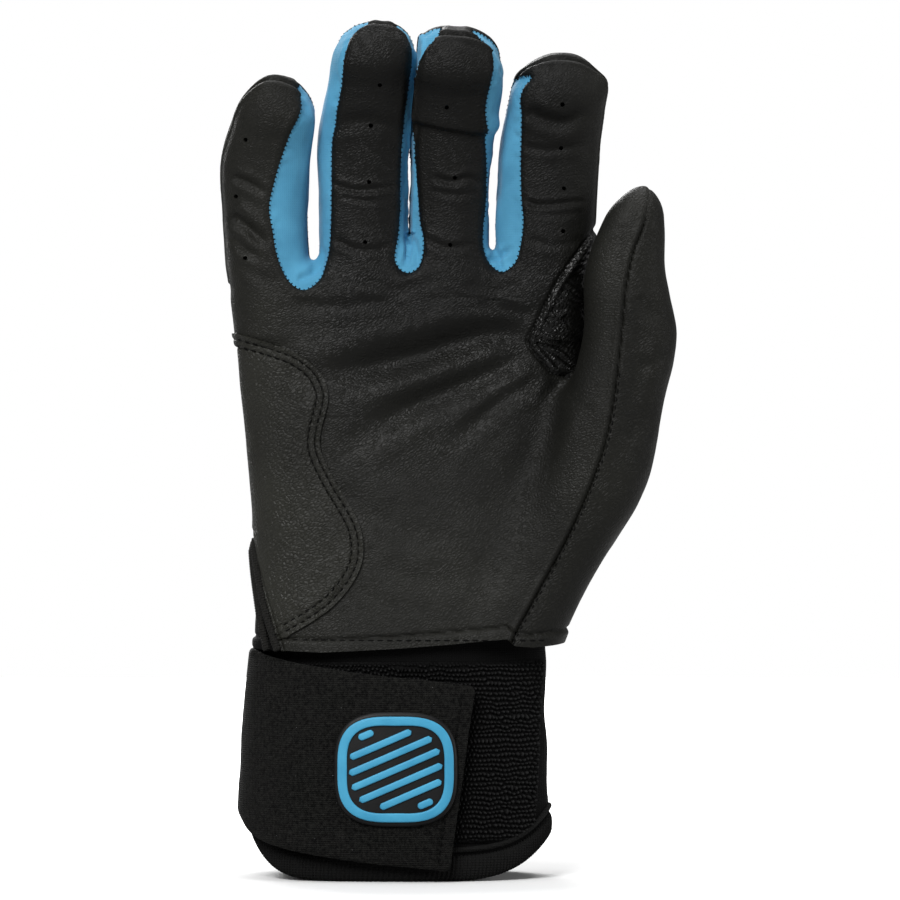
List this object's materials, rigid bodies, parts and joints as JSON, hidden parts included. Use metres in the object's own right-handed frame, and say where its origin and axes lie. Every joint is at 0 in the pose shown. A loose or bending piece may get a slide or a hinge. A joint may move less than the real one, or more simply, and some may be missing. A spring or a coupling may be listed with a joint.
{
  "type": "batting glove",
  "caption": "Right-hand leather batting glove with blue stretch strips between the fingers and a hook-and-loop wrist strap.",
  "frame": {"origin": "middle of the hand opening at the lower edge of the cuff, on the plane that the cuff stands on", "axes": "+Z from the cuff to the fingertips, -Y out of the palm, +X to the thumb side"},
  "size_m": [0.1253, 0.0575, 0.2357],
  "materials": {
    "leather": "soft goatskin, low sheen",
    "patch_leather": "pebbled leather, low sheen",
    "stretch_knit": "matt stretch knit",
    "black_knit": "ribbed elastic knit",
    "neoprene": "matt knit-faced neoprene",
    "tape": "woven binding tape",
    "loop_pile": "woven loop pile",
    "elastic": "woven elastic webbing",
    "hook_tape": "moulded hooks",
    "badge_rubber": "moulded, satin",
    "badge_blue": "moulded, satin"
  },
  "bodies": {
    "hand": {"palm_panel": "leather", "heel_patch": "patch_leather", "thumb_gusset": "patch_leather", "thumb_side_panel": "leather", "back_panel": "leather", "knuckle_band": "black_knit", "slit_binding": "tape", "crotch_pinky_ring": "stretch_knit", "crotch_ring_middle": "stretch_knit", "crotch_middle_index": "stretch_knit", "cuff_sleeve": "neoprene", "rim_binding": "tape", "loop_patch": "loop_pile", "strap_anchor": "elastic"},
    "pinky": {"pinky_front": "leather", "pinky_back": "leather", "pinky_strip": "stretch_knit"},
    "ring": {"ring_front": "leather", "ring_back": "leather", "ring_left_strip": "stretch_knit", "ring_right_strip": "stretch_knit"},
    "middle": {"middle_front": "leather", "middle_back": "leather", "middle_left_strip": "stretch_knit", "middle_right_strip": "stretch_knit"},
    "index": {"index_front": "leather", "index_back": "leather", "index_strip": "stretch_knit"},
    "thumb": {"thumb_front": "leather", "thumb_back": "leather"},
    "strap": {"strap_flap": "elastic", "hook_tab": "hook_tape", "badge_base": "badge_rubber", "badge_rim": "badge_blue"}
  },
  "joints": [
    {"name": "pinky_flex", "type": "hinge", "parent": "hand", "child": "pinky", "pos_m": [-0.0365, -0.0126, 0.1732], "axis": [1, 0, 0], "range_deg": [0, 75]},
    {"name": "ring_flex", "type": "hinge", "parent": "hand", "child": "ring", "pos_m": [-0.0106, -0.0126, 0.1732], "axis": [1, 0, 0], "range_deg": [0, 75]},
    {"name": "middle_flex", "type": "hinge", "parent": "hand", "child": "middle", "pos_m": [0.0139, -0.0126, 0.1732], "axis": [1, 0, 0], "range_deg": [0, 75]},
    {"name": "index_flex", "type": "hinge", "parent": "hand", "child": "index", "pos_m": [0.0396, -0.0126, 0.1732], "axis": [1, 0, 0], "range_deg": [0, 75]},
    {"name": "thumb_flex", "type": "hinge", "parent": "hand", "child": "thumb", "pos_m": [0.0605, -0.0244, 0.1387], "axis": [1, 0, 0], "range_deg": [0, 40]},
    {"name": "strap_open", "type": "hinge", "parent": "hand", "child": "strap", "pos_m": [-0.0443, -0.0081, 0.037], "axis": [0, 0, -1], "range_deg": [0, 150]}
  ]
}
